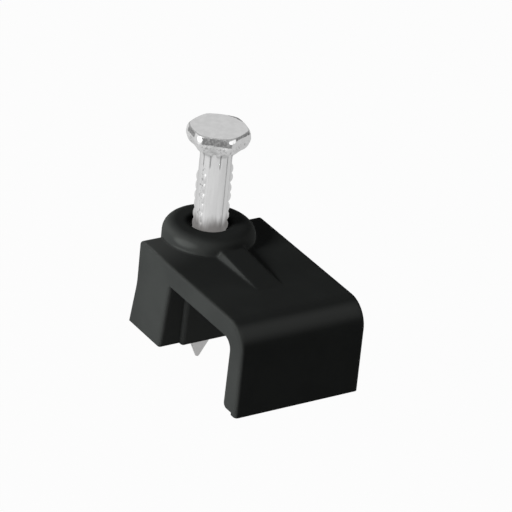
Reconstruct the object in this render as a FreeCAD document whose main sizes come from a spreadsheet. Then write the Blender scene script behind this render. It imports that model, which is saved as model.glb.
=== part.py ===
import FreeCAD, Part
import math
import os

import Sketcher

# A nail-in cable clip: one moulded plastic body and the hardened nail that is held in it.
# Frame in millimetres: Z is the nail's axis and points away from the wall, the wall is the plane Z = 0,
# X runs from the nail across the cable channel to the hook, and Y runs along the cable.

doc = FreeCAD.newDocument("cable_clip")
sheet = doc.addObject("Spreadsheet::Sheet", "Dimensions")

# Driving dimensions: millimetres, degrees and counts
dimensions = [
    ("ClipWidth", 8.86, "length of the clip along the cable"),
    ("ClipHeight", 6.02, "wall to the flat top"),
    ("RoofThickness", 1.31, "plastic over the channel"),
    ("ChannelWidth", 7.25, "clear width of the channel under the roof"),
    ("LegInner", 2.94, "nail axis to the channel side of the nail leg, under the roof"),
    ("LegInnerDraft", 0.59, "how far that side leans back to the nail at the wall"),
    ("LegOuter", 0.97, "nail axis to the outer side of the nail leg"),
    ("FlareHeight", 3.1, "height at which the outer side begins to flare"),
    ("FlareReach", 0.56, "how far the flare stands out at the wall"),
    ("FlareBlend", 4.0, "radius that blends the flare into the side above"),
    ("HookThickness", 1.35, "hook leg under the roof"),
    ("HookDraft", 0.13, "how much thicker the hook leg is at its toe"),
    ("FoldRadius", 1.7, "outer bend from the top into the hook leg"),
    ("ChannelCurve", 0.7, "inner bend between the roof and the hook leg"),
    ("LipDrop", 0.1, "how far the toe's outer lip stands below its inner half"),
    ("LipWidth", 0.53, "width of that lip"),
    ("MouthRadius", 0.35, "rounding of the channel's mouth, both sides"),
    ("EdgeRadius", 0.22, "rounding along both ends of the clip"),
    ("ChannelEdge", 0.1, "the same at the roof's lower edge and down the hook's inner side"),
    ("TopEdgeRadius", 0.22, "rounding along the top of the nail leg's outer side"),
    ("PadProud", 0.31, "how far the nail pad stands into the channel"),
    ("PadWidth", 5.96, "width of the pad at the wall"),
    ("PadSpread", 0.5, "how much wider the pad is under the roof"),
    ("PadCorner", 0.28, "rounding of the pad's long corners and of its lower edge"),
    ("CollarRadius", 2.95, "collar and rear column round the nail"),
    ("CollarHeight", 0.97, "crest of the collar above the top"),
    ("CollarCurve", 0.8, "outer rounding of the collar"),
    ("FunnelCurve", 0.45, "rounding of the collar into the nail's hole"),
    ("RibHeight", 0.38, "rib above the top, at the collar's wall"),
    ("RibLength", 4.4, "rib from the collar's wall to where it runs out"),
    ("RibWidth", 2.2, "foot of the rib at the collar"),
    ("RibTaper", 0.4, "how much narrower its foot is at the far end"),
    ("RibSideLean", 32.0, "lean of the rib's two sides"),
    ("NailClearance", 0.03, "gap round the nail's teeth in its hole"),
    ("NailLength", 16.27, "whole nail, tip to head"),
    ("TipBelowWall", 2.68, "how far the nail's tip stands past the clip's feet"),
    ("NailTurn", 53.0, "turn of the nail about its axis"),
    ("ShankRadius", 1.02, "smooth shank"),
    ("TipRadius", 0.14, "blunt end of the point"),
    ("PointLength", 2.1, "cone of the point"),
    ("ToothHeight", 0.12, "teeth above the shank"),
    ("ToothRadius", 0.28, "rounding of each tooth, seen from the side"),
    ("ToothWidth", 0.24, "width of each row of teeth"),
    ("ToothPitch", 0.64, "spacing of the teeth along a row"),
    ("ToothCount", 10, "teeth in a row"),
    ("RowCount", 6, "rows of teeth, and lobes of the head"),
    ("NeckLength", 0.72, "smooth shank between the head and the first tooth"),
    ("FluteRadius", 0.1, "grooves beside each row of teeth"),
    ("FluteDepth", 0.05, "depth of these grooves"),
    ("FluteAngle", 12.0, "turn from a row of teeth to its groove"),
    ("LobeCentre", 0.9, "nail axis to the middle of each lobe of the head"),
    ("LobeRadius", 1.14, "rounding of each lobe, seen from above"),
    ("LobeBevel", 0.12, "bevel of the lobes' upper edge"),
    ("PlateFlat", 1.76, "nail axis to each flat of the head's plate"),
    ("PlateHeight", 0.54, "flat sides of that plate, above the lobes"),
    ("PlateCorner", 0.55, "rounding of its corners, seen from above"),
    ("PlateRim", 0.08, "bevel of its upper edge"),
    ("HeadWall", 0.8, "upright side of the head, plate and lobes together"),
    ("HeadShoulder", 0.47, "steep part under that side"),
    ("ShoulderInset", 0.3, "how far the steep part draws in"),
    ("HeadCone", 0.54, "cone from the shoulder to the shank"),
]
for row, (name, value, note) in enumerate(dimensions, 1):
    sheet.set(f"A{row}", name)
    sheet.set(f"B{row}", str(value))
    sheet.set(f"C{row}", note)
    sheet.setAlias(f"B{row}", name)
doc.recompute()


def size(name):
    return float(sheet.get(name))


# Expressions that more than one feature uses
HOOK_INNER = "(Dimensions.LegInner + Dimensions.ChannelWidth)"
HOOK_OUTER = f"({HOOK_INNER} + Dimensions.HookThickness)"
ROOF = "(Dimensions.ClipHeight - Dimensions.RoofThickness)"
LEG_FOOT = "(Dimensions.LegInner - Dimensions.LegInnerDraft)"
PAD_HEAD_WIDTH = "(Dimensions.PadWidth + Dimensions.PadSpread)"
HOLE = "(Dimensions.ShankRadius + Dimensions.ToothHeight + Dimensions.NailClearance)"
COLLAR_WALL = f"(Dimensions.CollarRadius - {HOLE})"
HEAD_SHOULDER = "(Dimensions.NailLength - Dimensions.HeadWall - Dimensions.HeadShoulder)"
NECK_TOP = f"({HEAD_SHOULDER} - Dimensions.HeadCone)"
LOBE_TOP = "(Dimensions.NailLength - Dimensions.PlateHeight)"

# A rounding takes at most this share of a narrow face beside it
FACE_SHARE = 0.9
PAD_ROUNDING = f"min(Dimensions.PadCorner; {FACE_SHARE} * Dimensions.PadProud)"

# The rib keeps this share of its height where it runs out
RUN_OUT_SHARE = 0.01


def origin_item(body, role):
    return next(item for item in body.Origin.OriginFeatures if item.Role == role)


def add_sketch(body, name, role, offset="0"):
    """A sketch on one of the body's own planes, moved along that plane's normal by an expression."""
    sketch = body.newObject("Sketcher::SketchObject", name)
    sketch.AttachmentSupport = [(origin_item(body, role), "")]
    sketch.MapMode = "FlatFace"
    sketch.setExpression("AttachmentOffset.Base.z", offset)
    return sketch


def bind(sketch, constraint, expression):
    index = sketch.addConstraint(constraint)
    sketch.setExpression(f"Constraints[{index}]", expression)


def pin(sketch, geometry, point, across, upward):
    """Ties one point of the sketch to two expressions, measured from the sketch's origin."""
    for kind, axis, expression in (("DistanceX", -2, across), ("DistanceY", -1, upward)):
        if expression == "0":
            sketch.addConstraint(Sketcher.Constraint("PointOnObject", geometry, point, axis))
        else:
            bind(sketch, Sketcher.Constraint(kind, -1, 1, geometry, point, 1.0), expression)


def draw_polygon(sketch, corners):
    """A closed outline of straight lines whose corners are pairs of expressions."""
    count = len(corners)
    turns = [2 * math.pi * i / count for i in range(count)]
    start = [FreeCAD.Vector(math.cos(turn), math.sin(turn), 0) for turn in turns]
    for i in range(count):
        sketch.addGeometry(Part.LineSegment(start[i], start[(i + 1) % count]), False)
    for i in range(count):
        sketch.addConstraint(Sketcher.Constraint("Coincident", i, 2, (i + 1) % count, 1))
    for i, (across, upward) in enumerate(corners):
        pin(sketch, i, 1, across, upward)


def draw_circle(sketch, radius, across="0", upward="0"):
    start = FreeCAD.Vector(0.1, 0.1, 0)
    circle = sketch.addGeometry(Part.Circle(start, FreeCAD.Vector(0, 0, 1), 1), False)
    bind(sketch, Sketcher.Constraint("Radius", circle, 1.0), radius)
    pin(sketch, circle, 3, across, upward)


def draw_half_disc(sketch, radius):
    """The half of a disc on the side away from the channel."""
    circle = Part.Circle(FreeCAD.Vector(0, 0, 0), FreeCAD.Vector(0, 0, 1), 1)
    arc = sketch.addGeometry(Part.ArcOfCircle(circle, math.pi / 2, 3 * math.pi / 2), False)
    line = sketch.addGeometry(Part.LineSegment(FreeCAD.Vector(0, -1, 0), FreeCAD.Vector(0, 1, 0)), False)
    sketch.addConstraint(Sketcher.Constraint("Coincident", arc, 3, -1, 1))
    sketch.addConstraint(Sketcher.Constraint("Coincident", arc, 2, line, 1))
    sketch.addConstraint(Sketcher.Constraint("Coincident", arc, 1, line, 2))
    sketch.addConstraint(Sketcher.Constraint("Vertical", line))
    bind(sketch, Sketcher.Constraint("Radius", arc, 1.0), radius)


def draw_pad_section(sketch, face, width):
    """A rectangle from inside the nail leg to the pad's face."""
    half = f"{width} / 2"
    draw_polygon(sketch, [("0", f"-{half}"), (face, f"-{half}"), (face, half), ("0", half)])


def draw_rib_section(sketch, width, height):
    """A trapezium on the top of the clip, carried a little way down into it."""
    foot = f"{width} / 2"
    crown = f"({foot} - {height} * tan(Dimensions.RibSideLean))"
    sunk = "Dimensions.ClipHeight - Dimensions.RibHeight"
    raised = f"Dimensions.ClipHeight + {height}"
    draw_polygon(sketch, [
        (f"-{foot}", sunk),
        (foot, sunk),
        (foot, "Dimensions.ClipHeight"),
        (crown, raised),
        (f"-{crown}", raised),
        (f"-{foot}", "Dimensions.ClipHeight"),
    ])


def add_pad(body, name, sketch, length, midplane=False):
    feature = body.newObject("PartDesign::Pad", name)
    feature.Profile = sketch
    feature.Midplane = midplane
    feature.setExpression("Length", length)
    doc.recompute()
    return feature


def add_loft(body, name, first, last):
    feature = body.newObject("PartDesign::AdditiveLoft", name)
    feature.Profile = first
    feature.Sections = [last]
    feature.Ruled = True
    doc.recompute()


def revolve(body, name, sketch, axis):
    feature = body.newObject("PartDesign::Revolution", name)
    feature.Profile = sketch
    feature.ReferenceAxis = axis
    feature.Angle = 360
    doc.recompute()
    return feature


def repeat_round_nail(body, name, original):
    feature = body.newObject("PartDesign::PolarPattern", name)
    feature.Originals = [original]
    feature.Axis = (origin_item(body, "Z_Axis"), [""])
    feature.Angle = 360
    feature.setExpression("Occurrences", "Dimensions.RowCount")
    body.Tip = feature
    doc.recompute()


def round_edges(body, name, radius, wanted):
    """Rounds those edges of the body so far that pass a test of the edge and its middle point."""
    base = body.Tip
    edges = []
    for number, edge in enumerate(base.Shape.Edges, 1):
        middle = edge.valueAt((edge.FirstParameter + edge.LastParameter) / 2)
        if wanted(edge, middle):
            edges.append(f"Edge{number}")
    feature = body.newObject("PartDesign::Fillet", name)
    feature.Base = (base, edges)
    feature.setExpression("Radius", radius)
    doc.recompute()


def bevel_top_edges(body, name, width, height):
    """Bevels every edge that lies at one height."""
    base = body.Tip
    edges = []
    for number, edge in enumerate(base.Shape.Edges, 1):
        if all(near(vertex.Z, height) for vertex in edge.Vertexes):
            edges.append(f"Edge{number}")
    feature = body.newObject("PartDesign::Chamfer", name)
    feature.Base = (base, edges)
    feature.setExpression("Size", width)
    doc.recompute()


SLACK = 0.02


def near(value, target):
    return abs(value - target) < SLACK


def is_circle(edge, radius):
    return not edge.Degenerated and isinstance(edge.Curve, Part.Circle) and near(edge.Curve.Radius, radius)


def at_line(*places):
    """A test for the edges along the cable that pass through given places of the side outline."""
    def wanted(edge, middle):
        level = near(middle.y, 0) and edge.Length > size("ClipWidth") / 2
        return level and any(near(middle.x, across) and near(middle.z, upward) for across, upward in places)
    return wanted


def make_clip_body():
    body = doc.addObject("PartDesign::Body", "ClipBody")
    body.Label = "clip_body"
    top = size("ClipHeight")
    roof = top - size("RoofThickness")
    hook_inner = size("LegInner") + size("ChannelWidth")
    hook_outer = hook_inner + size("HookThickness")
    leg_foot = size("LegInner") - size("LegInnerDraft")

    # Side outline: nail leg, roof and hook leg in one C
    outline = add_sketch(body, "SideOutline", "XZ_Plane")
    draw_polygon(outline, [
        ("-(Dimensions.LegOuter + Dimensions.FlareReach)", "0"),
        ("-Dimensions.LegOuter", "Dimensions.FlareHeight"),
        ("-Dimensions.LegOuter", "Dimensions.ClipHeight"),
        (HOOK_OUTER, "Dimensions.ClipHeight"),
        (HOOK_OUTER, "0"),
        (f"{HOOK_OUTER} - Dimensions.LipWidth", "0"),
        (f"{HOOK_OUTER} - Dimensions.LipWidth", "Dimensions.LipDrop"),
        (f"{HOOK_INNER} - Dimensions.HookDraft", "Dimensions.LipDrop"),
        (HOOK_INNER, ROOF),
        ("Dimensions.LegInner", ROOF),
        (LEG_FOOT, "0"),
    ])
    add_pad(body, "ClipBlank", outline, "Dimensions.ClipWidth", midplane=True)

    # Bends and roundings of that outline
    toe = (hook_inner - size("HookDraft"), size("LipDrop"))
    flare_start = (-size("LegOuter"), size("FlareHeight"))
    round_edges(body, "Fold", "Dimensions.FoldRadius", at_line((hook_outer, top)))
    round_edges(body, "HookBend", "Dimensions.ChannelCurve", at_line((hook_inner, roof)))
    round_edges(body, "FlareCurve", "Dimensions.FlareBlend", at_line(flare_start))
    round_edges(body, "ChannelMouth", "Dimensions.MouthRadius", at_line((leg_foot, 0), toe))
    round_edges(body, "TopEdge", "Dimensions.TopEdgeRadius", at_line((-size("LegOuter"), top)))

    # Soft edges round both ends, crisper under the roof and down the hook's inner side
    def on_end(edge, middle):
        points = [vertex.Point for vertex in edge.Vertexes] + [middle]
        flat = all(near(abs(point.y), size("ClipWidth") / 2) for point in points)
        return flat and middle.z > size("LipDrop") + SLACK

    def in_channel(middle):
        return size("LegInner") < middle.x < hook_inner + SLACK and middle.z < roof + SLACK

    round_edges(body, "EndEdges", "Dimensions.EdgeRadius", lambda e, m: on_end(e, m) and not in_channel(m))
    round_edges(body, "ChannelEnds", "Dimensions.ChannelEdge", lambda e, m: on_end(e, m) and in_channel(m))

    # Pad of the nail column inside the channel, wider and further out under the roof
    pad_foot = add_sketch(body, "PadFoot", "XY_Plane")
    draw_pad_section(pad_foot, f"({LEG_FOOT} + Dimensions.PadProud)", "Dimensions.PadWidth")
    pad_head = add_sketch(body, "PadHead", "XY_Plane", ROOF)
    draw_pad_section(pad_head, "(Dimensions.LegInner + Dimensions.PadProud)", PAD_HEAD_WIDTH)
    add_loft(body, "NailPad", pad_foot, pad_head)
    pad_x = (leg_foot + size("LegInner")) / 2 + size("PadProud")
    pad_y = size("PadWidth") / 2 + size("PadSpread") / 4
    round_edges(body, "PadCorners", PAD_ROUNDING,
                lambda e, m: near(m.x, pad_x) and near(abs(m.y), pad_y) and near(m.z, roof / 2))
    round_edges(body, "PadMouth", PAD_ROUNDING,
                lambda e, m: near(m.x, leg_foot + size("PadProud")) and near(m.y, 0) and near(m.z, 0))

    # Half column behind the nail leg, and the collar on the top, both round the nail
    column = add_sketch(body, "ColumnFoot", "XY_Plane")
    draw_half_disc(column, "Dimensions.CollarRadius")
    add_pad(body, "RearColumn", column, "Dimensions.ClipHeight")
    collar = add_sketch(body, "CollarFoot", "XY_Plane", ROOF)
    draw_circle(collar, "Dimensions.CollarRadius")
    add_pad(body, "Collar", collar, "Dimensions.RoofThickness + Dimensions.CollarHeight")
    crest = top + size("CollarHeight")
    round_edges(body, "CollarRounding", f"min(Dimensions.CollarCurve; {COLLAR_WALL} / 2)",
                lambda e, m: near(m.z, crest) and is_circle(e, size("CollarRadius")))

    # Rib from the collar along the top, one straight slope down to nothing
    rib_root = add_sketch(body, "RibRoot", "YZ_Plane", "Dimensions.CollarRadius - Dimensions.CollarCurve")
    draw_rib_section(rib_root, "Dimensions.RibWidth",
                     "(Dimensions.RibHeight * (1 + Dimensions.CollarCurve / Dimensions.RibLength))")
    rib_end = add_sketch(body, "RibEnd", "YZ_Plane", "Dimensions.CollarRadius + Dimensions.RibLength")
    draw_rib_section(rib_end, "(Dimensions.RibWidth - Dimensions.RibTaper)",
                     f"({RUN_OUT_SHARE} * Dimensions.RibHeight)")
    add_loft(body, "Rib", rib_root, rib_end)

    # Hole for the nail, right through, with a funnel at its mouth
    hole = add_sketch(body, "NailHole", "XY_Plane")
    draw_circle(hole, HOLE)
    bore = body.newObject("PartDesign::Pocket", "NailBore")
    bore.Profile = hole
    bore.Type = "ThroughAll"
    bore.Midplane = True
    doc.recompute()
    hole_radius = size("ShankRadius") + size("ToothHeight") + size("NailClearance")
    round_edges(body, "Funnel", f"min(Dimensions.FunnelCurve; {COLLAR_WALL} / 3)",
                lambda e, m: near(m.z, crest) and is_circle(e, hole_radius))
    return body


def make_nail():
    """The nail in its own frame, tip at the origin; its placement sets it in the clip."""
    body = doc.addObject("PartDesign::Body", "Nail")
    body.Label = "nail"
    nail_axis = (origin_item(body, "Z_Axis"), [""])
    shank_end = f"({HEAD_SHOULDER} + Dimensions.HeadShoulder)"

    # Smooth shank and blunt cone point
    half = add_sketch(body, "ShankHalf", "XZ_Plane")
    draw_polygon(half, [
        ("0", "0"),
        ("Dimensions.TipRadius", "0"),
        ("Dimensions.ShankRadius", "Dimensions.PointLength"),
        ("Dimensions.ShankRadius", shank_end),
        ("0", shank_end),
    ])
    revolve(body, "ShankAndPoint", half, nail_axis)
    round_edges(body, "BluntTip", f"{FACE_SHARE} * Dimensions.TipRadius",
                lambda e, m: near(m.z, 0) and is_circle(e, size("TipRadius")))

    # Head: a plate with flat sides, rounded corners and a bevelled rim
    corner = "(Dimensions.PlateFlat / cos(180 / Dimensions.RowCount))"
    sides = int(size("RowCount"))
    turns = [f"({i} * 360 / Dimensions.RowCount)" for i in range(sides)]
    plate = add_sketch(body, "PlateOutline", "XY_Plane", f"{LOBE_TOP} - Dimensions.LobeBevel")
    draw_polygon(plate, [(f"{corner} * cos({turn})", f"{corner} * sin({turn})") for turn in turns])
    add_pad(body, "HeadPlate", plate, "Dimensions.PlateHeight + Dimensions.LobeBevel")
    corner_reach = size("PlateFlat") / math.cos(math.pi / sides)
    round_edges(body, "PlateCorners", "Dimensions.PlateCorner",
                lambda e, m: near(math.hypot(m.x, m.y), corner_reach) and m.z < size("NailLength") - SLACK)
    bevel_top_edges(body, "PlateBevel", "Dimensions.PlateRim", size("NailLength"))

    # Under the plate, round lobes, each with its own shoulder and cone, that run together at the axis
    lobe_half = add_sketch(body, "LobeHalf", "XZ_Plane")
    rim = "(Dimensions.LobeCentre + Dimensions.LobeRadius)"
    foot_reach = "max(Dimensions.ShankRadius - Dimensions.LobeCentre; Dimensions.ToothHeight)"
    draw_polygon(lobe_half, [
        ("Dimensions.LobeCentre", NECK_TOP),
        (f"Dimensions.LobeCentre + {foot_reach}", NECK_TOP),
        (f"{rim} - Dimensions.ShoulderInset", HEAD_SHOULDER),
        (rim, f"{HEAD_SHOULDER} + Dimensions.HeadShoulder"),
        (rim, f"{LOBE_TOP} - Dimensions.LobeBevel"),
        (f"{rim} - Dimensions.LobeBevel", LOBE_TOP),
        ("Dimensions.LobeCentre", LOBE_TOP),
    ])
    lobe = revolve(body, "Lobe", lobe_half, (lobe_half, ["Edge7"]))
    repeat_round_nail(body, "HeadLobes", lobe)

    # Two grooves beside each row of teeth, along the whole shank
    flutes = add_sketch(body, "FlutePair", "XY_Plane")
    reach = "(Dimensions.ShankRadius - Dimensions.FluteDepth + Dimensions.FluteRadius)"
    for side in ("", "-"):
        draw_circle(flutes, "Dimensions.FluteRadius", f"{reach} * cos(Dimensions.FluteAngle)",
                    f"{side}{reach} * sin(Dimensions.FluteAngle)")
    flute = body.newObject("PartDesign::Pocket", "Flutes")
    flute.Profile = flutes
    flute.Reversed = True
    flute.setExpression("Length", NECK_TOP)
    doc.recompute()
    repeat_round_nail(body, "FluteRows", flute)

    # Teeth: one row drawn down the side of the nail, repeated round it
    row = add_sketch(body, "ToothRow", "XZ_Plane")
    tooth_centre = "(Dimensions.ShankRadius + Dimensions.ToothHeight - Dimensions.ToothRadius)"
    first_tooth = f"({NECK_TOP} - Dimensions.NeckLength - Dimensions.ToothRadius)"
    for i in range(int(size("ToothCount"))):
        place = f"{first_tooth} - {i} * Dimensions.ToothPitch"
        draw_circle(row, "Dimensions.ToothRadius", tooth_centre, place)
    teeth = add_pad(body, "Teeth", row, "Dimensions.ToothWidth", midplane=True)
    repeat_round_nail(body, "ToothRows", teeth)

    start_turn = FreeCAD.Rotation(FreeCAD.Vector(0, 0, 1), 1)
    body.Placement = FreeCAD.Placement(FreeCAD.Vector(0, 0, 0), start_turn)
    body.setExpression("Placement.Base.z", "-Dimensions.TipBelowWall")
    body.setExpression("Placement.Rotation.Angle", "Dimensions.NailTurn")
    return body


bodies = [make_clip_body(), make_nail()]
doc.recompute()

# Every feature and each finished piece is tested before anything is written
for item in doc.Objects:
    if "Invalid" in item.State or "Error" in item.State:
        raise RuntimeError(f"{item.Label} failed")
for body in bodies:
    if body.Shape.isNull() or not body.Shape.isValid() or len(body.Shape.Solids) != 1:
        raise RuntimeError(f"{body.Label} isn't one valid solid")

os.makedirs("parts", exist_ok=True)
for body in bodies:
    body.Shape.exportStep(f"parts/{body.Label}.step")
    print(body.Label, round(body.Shape.Volume, 2), "mm3")
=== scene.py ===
import math

import bpy
from mathutils import Matrix, Vector


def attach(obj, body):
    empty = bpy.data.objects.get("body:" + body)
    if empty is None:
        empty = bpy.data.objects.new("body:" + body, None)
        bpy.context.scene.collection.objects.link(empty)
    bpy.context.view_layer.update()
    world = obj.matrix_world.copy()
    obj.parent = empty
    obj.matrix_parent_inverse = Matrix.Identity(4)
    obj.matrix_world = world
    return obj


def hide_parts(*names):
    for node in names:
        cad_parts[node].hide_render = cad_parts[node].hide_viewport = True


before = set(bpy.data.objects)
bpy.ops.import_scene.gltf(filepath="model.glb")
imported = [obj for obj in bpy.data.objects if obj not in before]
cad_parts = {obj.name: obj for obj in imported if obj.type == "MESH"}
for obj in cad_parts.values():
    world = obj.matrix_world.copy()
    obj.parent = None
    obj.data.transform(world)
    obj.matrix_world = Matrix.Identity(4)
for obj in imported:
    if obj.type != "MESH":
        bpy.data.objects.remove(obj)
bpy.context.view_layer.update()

mm = 0.001
degree = math.radians(1)
print("frame loaded:", ", ".join(sorted(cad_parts)))


# One output of a node. Arithmetic on it adds Math nodes to the same tree.
class Wire:
    def __init__(self, graph, socket):
        self.graph = graph
        self.socket = socket

    def part(self, name):  # another output of the same node
        return Wire(self.graph, self.socket.node.outputs[name])

    def math(self, operation, *others):
        return self.graph.math(operation, self, *others)

    def __add__(self, other):
        return self.math("ADD", other)

    def __radd__(self, other):
        return self.graph.math("ADD", other, self)

    def __sub__(self, other):
        return self.math("SUBTRACT", other)

    def __rsub__(self, other):
        return self.graph.math("SUBTRACT", other, self)

    def __mul__(self, other):
        return self.math("MULTIPLY", other)

    def __rmul__(self, other):
        return self.graph.math("MULTIPLY", other, self)

    def __truediv__(self, other):
        return self.math("DIVIDE", other)

    def __rtruediv__(self, other):
        return self.graph.math("DIVIDE", other, self)

    def __pow__(self, other):
        return self.math("POWER", other)

    def __gt__(self, other):
        return self.math("GREATER_THAN", other)

    def __lt__(self, other):
        return self.math("LESS_THAN", other)

    def __abs__(self):
        return self.math("ABSOLUTE")

    def step(self, low, high):  # 0 below low, 1 above high, smooth between
        return self.graph.node("ShaderNodeMapRange", {"interpolation_type": "SMOOTHSTEP"}, {
            "Value": self, "From Min": low, "From Max": high})

    def band(self, low, lowEnd, high, highEnd):  # 1 from lowEnd to high, fading out past both
        return self.step(low, lowEnd) * (1 - self.step(high, highEnd))


# A node tree that is written in Python
class Graph:
    def __init__(self, tree):
        self.tree = tree

    def node(self, kind, settings=None, sockets=None, out=0):
        made = self.tree.nodes.new(kind)
        for name, value in (settings or {}).items():
            if name == "items":  # how many values an Index Switch chooses from
                for i in range(value - len(made.index_switch_items)):
                    made.index_switch_items.new()
            else:
                setattr(made, name, value)
        for key, value in (sockets or {}).items():
            named = [item for item in made.inputs if item.identifier == key]
            target = named[0] if named else made.inputs[key]
            if isinstance(value, Wire):
                self.tree.links.new(value.socket, target)
            else:
                target.default_value = value
        return Wire(self, made.outputs[out]) if len(made.outputs) else None

    def math(self, operation, *terms):
        return self.node("ShaderNodeMath", {"operation": operation}, dict(enumerate(terms)))

    def split(self, vector):  # its X, Y and Z
        parts = self.node("ShaderNodeSeparateXYZ", {}, {"Vector": vector})
        return [parts.part(name) for name in "XYZ"]

    def mixColour(self, factor, first, second):
        settings = {"data_type": "RGBA"}
        return self.node("ShaderNodeMix", settings, {0: factor, 6: first, 7: second}, out=2)

    def mixValue(self, factor, first, second):
        return self.node("ShaderNodeMix", {"data_type": "FLOAT"}, {0: factor, 2: first, 3: second})

    def pick(self, index, values):  # the value whose place in the list is the index
        sockets = {"Index": index}
        sockets.update({i + 1: value for i, value in enumerate(values)})
        return self.node("GeometryNodeIndexSwitch", {"data_type": "FLOAT", "items": len(values)}, sockets)

    def random(self, low, high, mark, seed):
        sockets = {"Min_001": low, "Max_001": high, "ID": mark, "Seed": seed}
        return self.node("FunctionNodeRandomValue", {"data_type": "FLOAT"}, sockets, out=1)

    def noise(self, place, scale, detail, roughness):
        return self.node("ShaderNodeTexNoise", {}, {
            "Vector": place, "Scale": scale, "Detail": detail, "Roughness": roughness})

    def attribute(self, name):
        return self.node("ShaderNodeAttribute", {"attribute_name": name}, out="Fac")


def newMaterial(name):
    material = bpy.data.materials.new(name)
    material.use_nodes = True
    material.node_tree.nodes.clear()
    return material, Graph(material.node_tree)


def grey(level):
    return (level, level, level, 1.0)


# Camera: where the picture was taken from
cameraAim = {
    "turn": 55.723,  # degrees round the nail, from the front to the hook
    "rise": 27.862,
    "lean": 5.91,
    "away": 247.636 * mm,
    "slide": (3.5076 * mm, 3.964 * mm),
    "lens": 276.0,
    "sensor": 36.0,
    "sees": (1 * mm, 20.0),  # from how near to how far
}


def addCamera(aim):
    turn, rise, lean = (aim[name] * degree for name in ("turn", "rise", "lean"))
    back = Vector((math.sin(turn) * math.cos(rise), -math.cos(turn) * math.cos(rise), math.sin(rise)))
    level = Vector((math.cos(turn), math.sin(turn), 0))
    up = back.cross(level)
    right = math.cos(lean) * level + math.sin(lean) * up
    above = math.cos(lean) * up - math.sin(lean) * level
    data = bpy.data.cameras.new("camera")
    data.lens = aim["lens"]
    data.sensor_width = aim["sensor"]
    data.clip_start, data.clip_end = aim["sees"]
    camera = bpy.data.objects.new("camera", data)
    bpy.context.scene.collection.objects.link(camera)
    place = back * aim["away"] + right * aim["slide"][0] + above * aim["slide"][1]
    camera.matrix_world = Matrix.Translation(place) @ Matrix((right, above, back)).transposed().to_4x4()
    bpy.context.scene.camera = camera


addCamera(cameraAim)
print("camera placed")


# Studio: a pale floor, a faint surround, a key lamp ahead and low soft lamps round the clip.
# The nail has its own smaller key lamp, for crisp glints.
studio = {
    "floorHeight": -8.0 * mm,  # just under the point of the nail when it is driven in
    "floorSize": 6.0,
    "floorColour": grey(0.5),
    "floorGlow": 0.97,  # share of plain white in what the camera sees of the floor
    "surround": 0.05,
    "lamps": {  # where from, how far away, size, power, what it lights
        "key": ((-0.016, -0.940, 0.342), 300 * mm, 110 * mm, 0.48, "clip"),
        "nail key": ((-0.016, -0.940, 0.342), 300 * mm, 34 * mm, 0.47, "nail"),
        "front": ((-0.309, -0.951, 0.015), 300 * mm, 60 * mm, 0.42, "clip"),
        "side": ((-0.662, -0.749, 0.020), 300 * mm, 60 * mm, 0.37, "clip"),
        "top": ((0.468, 0.498, 0.731), 400 * mm, 60 * mm, 0.03, "all"),
        "back": ((0.080, 0.995, 0.060), 300 * mm, 60 * mm, 0.20, "clip"),
        "nail band": ((0.899, -0.271, 0.342), 300 * mm, 34 * mm, 0.13, "nail"),
    },
}

# What a lamp lights, where it doesn't light everything
lit = {"clip": bpy.data.collections.new("lit clip"), "nail": bpy.data.collections.new("lit nail")}


def addLamp(name, toward, away, size, power, target):
    data = bpy.data.lights.new(name, "AREA")
    data.shape = "DISK"
    data.size = size
    data.energy = power
    lamp = bpy.data.objects.new(name, data)
    direction = Vector(toward).normalized()
    lamp.location = direction * away
    lamp.rotation_euler = direction.to_track_quat("Z", "Y").to_euler()
    lamp.visible_camera = False
    if target in lit:
        lamp.light_linking.receiver_collection = lit[target]
    bpy.context.scene.collection.objects.link(lamp)


def seenAsBackground(graph):  # 1 for rays that look at the background, 0 for rays that light things
    path = graph.node("ShaderNodeLightPath")
    seen = path.part("Is Camera Ray") + path.part("Is Glossy Ray") + path.part("Is Transmission Ray")
    noMattBounce = path.part("Diffuse Depth") < 0.5
    return seen.math("MINIMUM", 1.0) * noMattBounce


def addFloor(look):
    material, graph = newMaterial("pale floor")
    matt = graph.node("ShaderNodeBsdfDiffuse", {}, {"Color": look["floorColour"]})
    white = graph.node("ShaderNodeEmission", {}, {"Color": grey(1.0), "Strength": 1.0})
    glow = seenAsBackground(graph) * look["floorGlow"]
    mixed = graph.node("ShaderNodeMixShader", {}, {0: glow, 1: matt, 2: white})
    graph.node("ShaderNodeOutputMaterial", {}, {"Surface": mixed})
    half, height = look["floorSize"] / 2, look["floorHeight"]
    corners = [(-half, -half, height), (half, -half, height), (half, half, height), (-half, half, height)]
    mesh = bpy.data.meshes.new("floor")
    mesh.from_pydata(corners, [], [(0, 1, 2, 3)])
    mesh.materials.append(material)
    floor = bpy.data.objects.new("floor", mesh)
    bpy.context.scene.collection.objects.link(floor)
    lit["clip"].objects.link(floor)


def addSurround(look):
    world = bpy.data.worlds.new("surround")
    world.use_nodes = True
    world.node_tree.nodes.clear()
    graph = Graph(world.node_tree)
    level = graph.mixValue(seenAsBackground(graph), look["surround"], 1.0)
    light = graph.node("ShaderNodeBackground", {}, {"Color": grey(1.0), "Strength": level})
    graph.node("ShaderNodeOutputWorld", {}, {"Surface": light})
    bpy.context.scene.world = world


addFloor(studio)
addSurround(studio)
for lampName, lampSettings in studio["lamps"].items():
    addLamp(lampName, *lampSettings)
bpy.context.scene.view_settings.view_transform = "Standard"
print("studio built")


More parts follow.
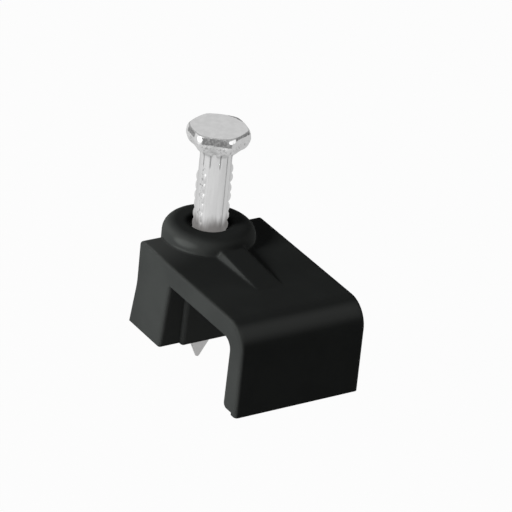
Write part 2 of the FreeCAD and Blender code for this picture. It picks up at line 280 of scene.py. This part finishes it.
# Clip: satin black moulded plastic
plastic = {
    "colour": (0.053, 0.0565, 0.0545, 1.0),
    "deep": (0.046, 0.049, 0.0475, 1.0),
    "cloud": (260.0, 4.0, 0.55),  # scale, detail and roughness of a noise
    "cloudStep": (0.35, 0.65),  # where the deep colour starts to give way and where it is gone
    "grain": (5200.0, 2.0, 0.6),
    "grainHeight": 0.0035 * mm,
    "grainShare": 0.4,  # in the roughness
    "roughness": (0.50, 0.62),
    "specular": 0.001,
    "softEdge": 0.32 * mm,
    "edgeSamples": 6,
    "edgeSheen": (0.066, 0.070, 0.067, 1.0),  # painted highlight on rounded edges, in place of glints
    "edgeSheenStep": (0.03, 0.29),  # where the painted highlight starts and where it is full
    "bend": (0.115, 0.121, 0.117, 1.0),  # painted highlight where the top bends into the hook
    "bendTurn": (0.30, 0.68),
    "bendEnds": (0.1, 0.4),
    "bendStart": 7.0 * mm,  # how far from the nail it begins
    "cornerLight": (0.125, 0.131, 0.127, 1.0),  # painted light on the corner of the top by the collar
    "cornerLightPlace": (-1.0 * mm, -4.4 * mm),
    "cornerLightReach": (0.8 * mm, 4.6 * mm),
    "cornerLightFlat": (0.80, 0.97),
    "cornerLightTop": 6.15 * mm,  # the rib and the collar stand higher
    "inner": (0.098, 0.103, 0.100, 1.0),  # painted light on the wall inside the channel
    "innerTurn": (0.85, 0.98),
    "innerReach": (4.5 * mm, 5.4 * mm),
    "collar": (5.9 * mm, 3.2 * mm),  # its foot and reach
    "collarHighlight": (0.100, 0.106, 0.102, 1.0),  # painted highlight on the shoulder of the collar, where the key lamp glints
    "collarHighlightToward": (0.397, -0.800, 0.450),
    "collarHighlightStep": (0.945, 0.99),
    # painted shade in the mouth of the hole
    "hole": (0.006, 0.006, 0.006, 1.0),
    "holeReach": (1.22 * mm, 1.62 * mm),
}


def plasticMaterial(look):
    material, graph = newMaterial("satin black plastic")
    place = graph.node("ShaderNodeTexCoord", out="Object")
    x, y, z = graph.split(place)
    soft = graph.node("ShaderNodeBevel", {"samples": look["edgeSamples"]}, {"Radius": look["softEdge"]})
    facing = graph.split(soft)
    faceX, faceY, faceZ = facing
    cloud = graph.noise(place, *look["cloud"])
    grain = graph.noise(place, *look["grain"])
    colour = graph.mixColour(cloud.step(*look["cloudStep"]), look["deep"], look["colour"])

    # Painted highlight on the rounded edges, and a painted highlight along the bend
    square = abs(faceX).math("MAXIMUM", abs(faceY)).math("MAXIMUM", abs(faceZ))
    colour = graph.mixColour((1 - square).step(*look["edgeSheenStep"]), colour, look["edgeSheen"])
    bend = faceX.math("MINIMUM", faceZ).step(*look["bendTurn"])
    bend = bend * (1 - abs(faceY).step(*look["bendEnds"])) * (x > look["bendStart"])
    colour = graph.mixColour(bend, colour, look["bend"])

    # Painted light on a corner of the top and on the wall inside the channel
    offX, offY = look["cornerLightPlace"]
    cornerLight = 1 - (((x - offX) ** 2 + (y - offY) ** 2) ** 0.5).step(*look["cornerLightReach"])
    cornerLight = cornerLight * faceZ.step(*look["cornerLightFlat"]) * (z < look["cornerLightTop"])
    colour = graph.mixColour(cornerLight, colour, look["cornerLight"])
    wallEnd, wallTop = look["innerReach"]
    inner = faceX.step(*look["innerTurn"]) * (x < wallEnd) * (z < wallTop)
    colour = graph.mixColour(inner, colour, look["inner"])

    # The collar: a painted highlight on its shoulder and painted shade in the mouth of its hole
    foot, reach = look["collar"]
    away = (x ** 2 + y ** 2) ** 0.5
    onCollar = (z > foot) * (away < reach)
    highlightFacing = sum(face * share for face, share in zip(facing, look["collarHighlightToward"]))
    colour = graph.mixColour(highlightFacing.step(*look["collarHighlightStep"]) * onCollar, colour, look["collarHighlight"])
    colour = graph.mixColour((1 - away.step(*look["holeReach"])) * onCollar, colour, look["hole"])

    rough = cloud * (1 - look["grainShare"]) + grain * look["grainShare"]
    bump = graph.node("ShaderNodeBump", {}, {
        "Strength": 1.0, "Distance": look["grainHeight"], "Height": grain, "Normal": soft})
    surface = graph.node("ShaderNodeBsdfPrincipled", {}, {
        "Base Color": colour,
        "Roughness": graph.mixValue(rough, *look["roughness"]),
        "Specular IOR Level": look["specular"],
        "Normal": bump,
    })
    graph.node("ShaderNodeOutputMaterial", {}, {"Surface": surface})
    return material


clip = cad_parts["clip_body"]
clip.data.materials.clear()
clip.data.materials.append(plasticMaterial(plastic))
clip.visible_glossy = False  # the plating mirrors the pale studio, not the black clip under it
lit["clip"].objects.link(clip)
print("clip dressed")


# Nail: a sheet wrapped round its outline, with rows of teeth, grooves and a lobed head, in bright plating
nailPlan = {
    # Height, and the radius over a flat and over a corner of the head, in mm
    "outline": [
        (13.5899, 0.00, 0.00), (13.5899, 1.68, 1.75), (13.585, 1.72, 1.80), (13.570, 1.750, 1.85),
        (13.535, 1.765, 1.90), (13.440, 1.765, 1.96), (13.300, 1.765, 2.01), (13.100, 1.765, 2.035),
        (13.050, 1.760, 2.045), (13.000, 1.720, 2.04), (12.920, 1.660, 2.03), (12.760, 1.570, 1.98),
        (12.600, 1.460, 1.92), (12.450, 1.340, 1.84), (12.320, 1.210, 1.72), (12.200, 1.080, 1.53),
        (12.090, 1.010, 1.42), (11.960, 1.000, 1.29), (11.870, 1.000, 1.18), (11.790, 1.005, 1.07),
        (11.700, 1.010, 1.02), (11.500, 1.015, 1.015), (9.000, 1.020, 1.02), (4.000, 1.020, 1.02),
        (-0.560, 1.020, 1.02), (-0.640, 0.990, 0.99), (-2.560, 0.150, 0.15), (-2.640, 0.110, 0.11),
        (-2.680, 0.040, 0.04), (-2.680, 0.00, 0.00),
    ],
    # Each row: its turn off its place, the strength, first height and reach of its teeth, the grooves
    # before and after it, and the lift and size of the corner of the head over it
    "rows": [
        (0.0, 1.00, 10.83, 0.21, 0.5, 0.5, 0.00, 1.00),
        (-1.0, 0.90, 10.60, 0.21, 0.4, 0.6, 0.15, 0.95),
        (2.0, 0.80, 10.40, 0.21, 0.3, 0.5, 0.30, 1.05),
        (0.0, 0.75, 10.15, 0.21, 0.3, 0.5, 0.00, 0.90),
        (1.0, 0.50, 10.30, 0.12, 0.5, 0.25, 0.32, 0.90),
        (6.0, 0.04, 10.50, 0.21, 0.2, 0.85, 0.28, 1.00),
    ],
    "sizes": {
        "Rings": 420,
        "Around": 216,
        "Seed": 4,
        "Row Turn": 53.0,  # degrees round the nail to the first row of teeth
        "Head Turn": 51.7,  # and to the first corner of the head
        "Plate Foot": 13.02 * mm,  # below this the six corners round into lobes
        "Lobe Head": 12.86 * mm,
        "Corner Spread": 1.3,
        "Corner Ease": 0.5,
        "Lift Foot": 11.60 * mm,  # between these heights the lobes are lifted unevenly
        "Lift Full": 11.85 * mm,
        "Lift Ease": 12.20 * mm,
        "Lift End": 12.50 * mm,
        "Shank Radius": 1.02 * mm,
        "Neck Line": 0.02 * mm,  # the painted shade line where the head begins, by how far it stands out
        "Neck Ease": 0.03 * mm,
        "Neck End": 0.08 * mm,
        "Neck Top": 12.50 * mm,
        "Pitch": 0.665 * mm,
        "Tooth Height": 0.125 * mm,
        "Tooth Crest": 0.03 * mm,
        "Tooth Roundness": 2.2,
        "Tooth Lean": 0.10,
        "Tooth Least": 0.70,
        "Tooth Most": 1.12,
        "Last Tooth": 4.0 * mm,
        "Groove Turn": 14.5,
        "Groove Width": 0.06 * mm,
        "Groove Depth": 0.045 * mm,
        "Groove Top": 11.88 * mm,
        "Groove Ease": 0.1 * mm,
        "Groove Fade": 11.25 * mm,
        "Groove Fade Length": 0.3 * mm,
        "Seam Width": 0.0002 * mm,
    },
    "plating": {
        "bright": grey(0.60),
        "dull": grey(0.56),
        "dark": grey(0.17),
        "glint": grey(1.0),
        "roughness": (0.50, 0.62),
        "bump": (0.5, 0.004 * mm),  # strength and height
        "dimple": (5200.0, 2.0, 0.5),  # scale, detail and roughness of a noise
        "streak": (2600.0, 3.0, 0.6),
        "streakSpread": (1.0, 1.0, 0.12),  # streaks run along the nail
        "streakStep": (0.35, 0.65),
        "grooveShare": 0.9,
        "neckShare": 0.35,
        "shankShade": (0.195, 0.187, 0.183, 1.0),  # painted shade in the hole, and thinner on the point
        "shankShadeHeights": (2.0 * mm, 5.0 * mm, 6.9 * mm, 7.9 * mm),
        "shankShadeStreak": 1.1 * mm,
        "pointHeights": (-1.2 * mm, 0.3 * mm),
        "pointShare": 0.4,
        # From here heights and distances are in mm, and turns in degrees
        "rimHeights": (13.52, 13.54, 13.575, 13.583),  # a thin darker line round the top
        "rimShare": 0.5,
        "speck": (7000.0, 1.0, 0.5),
        "speckStep": (0.58, 0.64),
        "speckShare": 0.6,
        "speckTurn": 281.7,  # painted shadow specks beside the front teeth, up to a height
        "speckReach": (7.0, 13.0),
        "speckTop": 11.3,
        "underHeights": (12.3, 12.5, 12.95, 13.05),  # and fainter ones under the head
        "underShare": 0.7,
        "ragged": (6000.0, 3.0, 0.65),
        "raggedHeight": 0.25,  # how far it shifts the edges of the marks
        "raggedTurn": 12.0,
        "raggedAway": 0.2,
        # Marks on the head: tone, middle, half width, foot, top, least distance from the axis
        "marks": [
            ("dark", 325.3, 28.5, 13.05, 13.535, 0.0),
            ("dark", 257.5, 16.5, 13.17, 13.54, 0.0),
            ("dark", 26.4, 23.0, 13.38, 13.56, 1.72),
            ("dark", 110.0, 20.0, 13.30, 13.90, 1.655),
            ("glint", 292.0, 5.5, 13.19, 13.50, 0.0),
            ("glint", 355.8, 7.0, 13.30, 13.50, 0.0),
        ],
        "markEase": (1.5, 0.02, 0.015),  # softness of their sides, foot and top
        "markShare": (0.85, 1.5),  # how full they are, and how far the noise changes it
    },
}


def steelMaterial(look):
    material, graph = newMaterial("bright plated steel")
    place = graph.node("ShaderNodeTexCoord", out="Object")
    x, y, z = graph.split(place)
    along = graph.node("ShaderNodeVectorMath", {"operation": "MULTIPLY"}, {0: place, 1: look["streakSpread"]})
    streak = graph.noise(along, *look["streak"])
    dimple = graph.noise(place, *look["dimple"])
    ragged = graph.noise(place, *look["ragged"]) - 0.5
    colour = graph.mixColour(streak.step(*look["streakStep"]), look["dull"], look["bright"])
    # Painted shade in the grooves
    colour = graph.mixColour(graph.attribute("groove") * look["grooveShare"], colour, look["dark"])
    # Painted shade in the crease where the head begins
    colour = graph.mixColour(graph.attribute("neckShade") * look["neckShare"], colour, look["dark"])

    # Painted shade low on the shank in the hole, with a streaky upper edge, and on the point
    low, lowEnd, high, highEnd = look["shankShadeHeights"]
    shankShade = z.step(low, lowEnd) * (1 - (z + (streak - 0.5) * look["shankShadeStreak"]).step(high, highEnd))
    pointShade = (1 - z.step(*look["pointHeights"])) * look["pointShare"]
    colour = graph.mixColour(shankShade.math("MAXIMUM", pointShade), colour, look["shankShade"])

    # The line round the top, and the specks: painted shadow beside the front teeth, fainter specks under the
    # head
    height = z / mm
    turn = y.math("ARCTAN2", x) / degree + ragged * look["raggedTurn"]

    def offTurn(middle):  # degrees from a place round the nail
        return abs((turn - middle).math("WRAP", 180.0, -180.0))

    rim = height.band(*look["rimHeights"]) * look["rimShare"]
    toothShadow = (1 - offTurn(look["speckTurn"]).step(*look["speckReach"])) * (height < look["speckTop"])
    under = height.band(*look["underHeights"]) * look["underShare"]
    specks = graph.noise(place, *look["speck"]).step(*look["speckStep"]) * toothShadow.math("MAXIMUM", under)
    colour = graph.mixColour(rim.math("MAXIMUM", specks * look["speckShare"]), colour, look["dark"])

    # Painted dark reflections on the flats of the head, dark marks on its rim, and painted glints on its
    # corners
    raggedHeight = height + ragged * look["raggedHeight"]
    away = (x ** 2 + y ** 2) ** 0.5 / mm + ragged * look["raggedAway"]
    sideEase, footEase, topEase = look["markEase"]
    full, change = look["markShare"]
    share = (full + ragged * change).math("MINIMUM", 1.0)
    for tone, middle, half, foot, top, least in look["marks"]:
        patch = 1 - offTurn(middle).step(half - sideEase, half + sideEase)
        patch = patch * raggedHeight.band(foot - footEase, foot + footEase, top - topEase, top + topEase)
        colour = graph.mixColour(patch * (away > least) * share, colour, look[tone])

    strength, distance = look["bump"]
    bump = graph.node("ShaderNodeBump", {}, {
        "Strength": strength, "Distance": distance, "Height": dimple + streak})
    surface = graph.node("ShaderNodeBsdfPrincipled", {}, {
        "Base Color": colour,
        "Metallic": 1.0,
        "Roughness": graph.mixValue(dimple, *look["roughness"]),
        "Normal": bump,
    })
    graph.node("ShaderNodeOutputMaterial", {}, {"Surface": surface})
    return material


def nailTree(plan, material):
    tree = bpy.data.node_groups.new("toothed nail", "GeometryNodeTree")
    tree.interface.new_socket("Outline", in_out="INPUT", socket_type="NodeSocketGeometry")
    for name, value in plan["sizes"].items():
        kind = "NodeSocketInt" if isinstance(value, int) else "NodeSocketFloat"
        tree.interface.new_socket(name, in_out="INPUT", socket_type=kind)
    tree.interface.new_socket("Nail", in_out="OUTPUT", socket_type="NodeSocketGeometry")
    graph = Graph(tree)
    start = graph.node("NodeGroupInput")
    given = {name: start.part(name) for name in ["Outline", *plan["sizes"]]}

    # The outline, cut into even rings, gives each ring its height and two radii
    line = graph.node("GeometryNodeMeshToCurve", {}, {"Mesh": given["Outline"]})
    line = graph.node("GeometryNodeResampleCurve", {"mode": "COUNT"}, {"Curve": line, "Count": given["Rings"]})
    sheet = graph.node("GeometryNodeMeshGrid", {}, {
        "Size X": 1.0, "Size Y": 1.0, "Vertices X": given["Around"] + 1, "Vertices Y": given["Rings"]})
    place = graph.node("GeometryNodeInputPosition")
    sheetX, sheetY = graph.split(place)[:2]
    ring = ((sheetY + 0.5) * (given["Rings"] - 1)).math("ROUND")
    sampled = graph.node("GeometryNodeSampleIndex", {"data_type": "FLOAT_VECTOR", "domain": "POINT"}, {
        "Geometry": line, "Value": place, "Index": ring})
    corner, flat, height = graph.split(sampled)
    turn = (sheetX + 0.5) * 360

    # Each point belongs to one of the rows
    rowCount = len(plan["rows"])
    sector = 360 / rowCount
    order = ((turn - given["Row Turn"]) / sector).math("ROUND")
    row = order.math("FLOORED_MODULO", rowCount)
    shift, strength, firstTooth, reach, grooveBefore, grooveAfter, lift, cornerSize = (
        graph.pick(row, values) for values in zip(*plan["rows"]))

    # Head: flats that meet in eased corners, and round lobes under them
    side = (turn - given["Head Turn"]) / sector
    offFlat = (sector / 2 - abs(side - side.math("ROUND")) * sector) * degree
    straight = (1 / offFlat.math("COSINE") - 1) / (1 / math.cos(sector / 2 * degree) - 1)
    straight = (straight * given["Corner Spread"]).math("SMOOTH_MIN", 1.0, given["Corner Ease"])
    lobed = 0.5 - (offFlat * rowCount).math("COSINE") * 0.5
    isPlate = height.step(given["Lobe Head"], given["Plate Foot"])
    radius = flat + (corner - flat) * graph.mixValue(isPlate, lobed, straight) * cornerSize
    flare = radius - given["Shank Radius"]
    neckShade = flare.band(0.0, given["Neck Line"], given["Neck Ease"], given["Neck End"])
    neckShade = neckShade * (height < given["Neck Top"])

    # Teeth: each row has its own place and strength, and each tooth its own size
    offRow = turn - given["Row Turn"] - order * sector - shift
    across = offRow * radius * degree
    down = (firstTooth * mm - height) / given["Pitch"] + 0.5
    tooth = down.math("FLOOR")
    mark = row * 100 + tooth  # a number of its own for each tooth
    lean = graph.random(given["Tooth Lean"] * -1, given["Tooth Lean"], mark, given["Seed"])
    growth = graph.random(given["Tooth Least"], given["Tooth Most"], mark, given["Seed"] + 1)
    offTooth = abs((down - tooth - 0.5 - lean) * 2)
    bump = (1 - offTooth ** given["Tooth Roundness"]).math("MAXIMUM", 0) * growth
    bump = bump * (down > 0) * (height > given["Last Tooth"])
    ridge = 1 - abs(across).step(given["Tooth Crest"], reach * mm)

    # Grooves: one on each side of every row, deepest under the head
    grooveShare = graph.mixValue(offRow > 0, grooveBefore, grooveAfter)
    offGroove = abs(abs(offRow) - given["Groove Turn"]) * radius * degree
    cut = 1 - offGroove.step(0.0, given["Groove Width"])
    below = 1 - height.step(given["Groove Top"] - given["Groove Ease"], given["Groove Top"])
    underHead = height.step(given["Groove Fade"] - given["Groove Fade Length"], given["Groove Fade"])
    groove = cut * below * graph.mixValue(underHead, grooveShare ** 2, 1.0) * (height > given["Last Tooth"])

    # The sheet is wrapped round the axis and closed
    radius = radius + bump * ridge * strength * given["Tooth Height"] - groove * given["Groove Depth"]
    lifted = height.band(given["Lift Foot"], given["Lift Full"], given["Lift Ease"], given["Lift End"])
    height = height + lifted * lift * lobed * mm
    angle = turn * degree
    wrapped = graph.node("ShaderNodeCombineXYZ", {}, {
        "X": radius * angle.math("COSINE"), "Y": radius * angle.math("SINE"), "Z": height})
    for name, value in (("groove", groove), ("neckShade", neckShade)):
        sheet = graph.node("GeometryNodeStoreNamedAttribute", {"data_type": "FLOAT", "domain": "POINT"}, {
            "Geometry": sheet, "Name": name, "Value": value})
    sheet = graph.node("GeometryNodeSetPosition", {}, {"Geometry": sheet, "Position": wrapped})
    sheet = graph.node("GeometryNodeMergeByDistance", {}, {"Geometry": sheet, "Distance": given["Seam Width"]})
    sheet = graph.node("GeometryNodeSetShadeSmooth", {}, {"Geometry": sheet, "Shade Smooth": True})
    sheet = graph.node("GeometryNodeRealizeInstances", {}, {"Geometry": sheet})
    sheet = graph.node("GeometryNodeSetMaterial", {}, {"Geometry": sheet, "Material": material})
    graph.node("NodeGroupOutput", {}, {"Nail": sheet})
    return tree


def outlineMesh(rows):  # a chain of points that holds each height with its two radii
    mesh = bpy.data.meshes.new("nail outline")
    places = [(corner * mm, flat * mm, height * mm) for height, flat, corner in rows]
    mesh.from_pydata(places, [(i, i + 1) for i in range(len(places) - 1)], [])
    return mesh


def plainMesh(name, start, tree, sizes):  # runs a tree once and keeps what it made
    source = bpy.data.objects.new(name + " source", start)
    bpy.context.scene.collection.objects.link(source)
    maker = source.modifiers.new("maker", "NODES")
    maker.node_group = tree
    sockets = {item.name: item.identifier for item in tree.interface.items_tree if item.in_out == "INPUT"}
    for key, value in sizes.items():
        maker[sockets[key]] = value
    bpy.context.view_layer.update()
    made = source.evaluated_get(bpy.context.evaluated_depsgraph_get())
    mesh = bpy.data.meshes.new_from_object(made)
    source.modifiers.remove(maker)
    bpy.data.objects.remove(source)
    piece = bpy.data.objects.new(name, mesh)
    bpy.context.scene.collection.objects.link(piece)
    return piece


steelTree = nailTree(nailPlan, steelMaterial(nailPlan["plating"]))
nail = plainMesh("toothedNail", outlineMesh(nailPlan["outline"]), steelTree, nailPlan["sizes"])
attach(nail, "nail")
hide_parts("nail")
lit["nail"].objects.link(nail)
nail.visible_diffuse = False  # the nail throws no bright patches on the black clip
print("nail built:", len(nail.data.polygons), "faces")
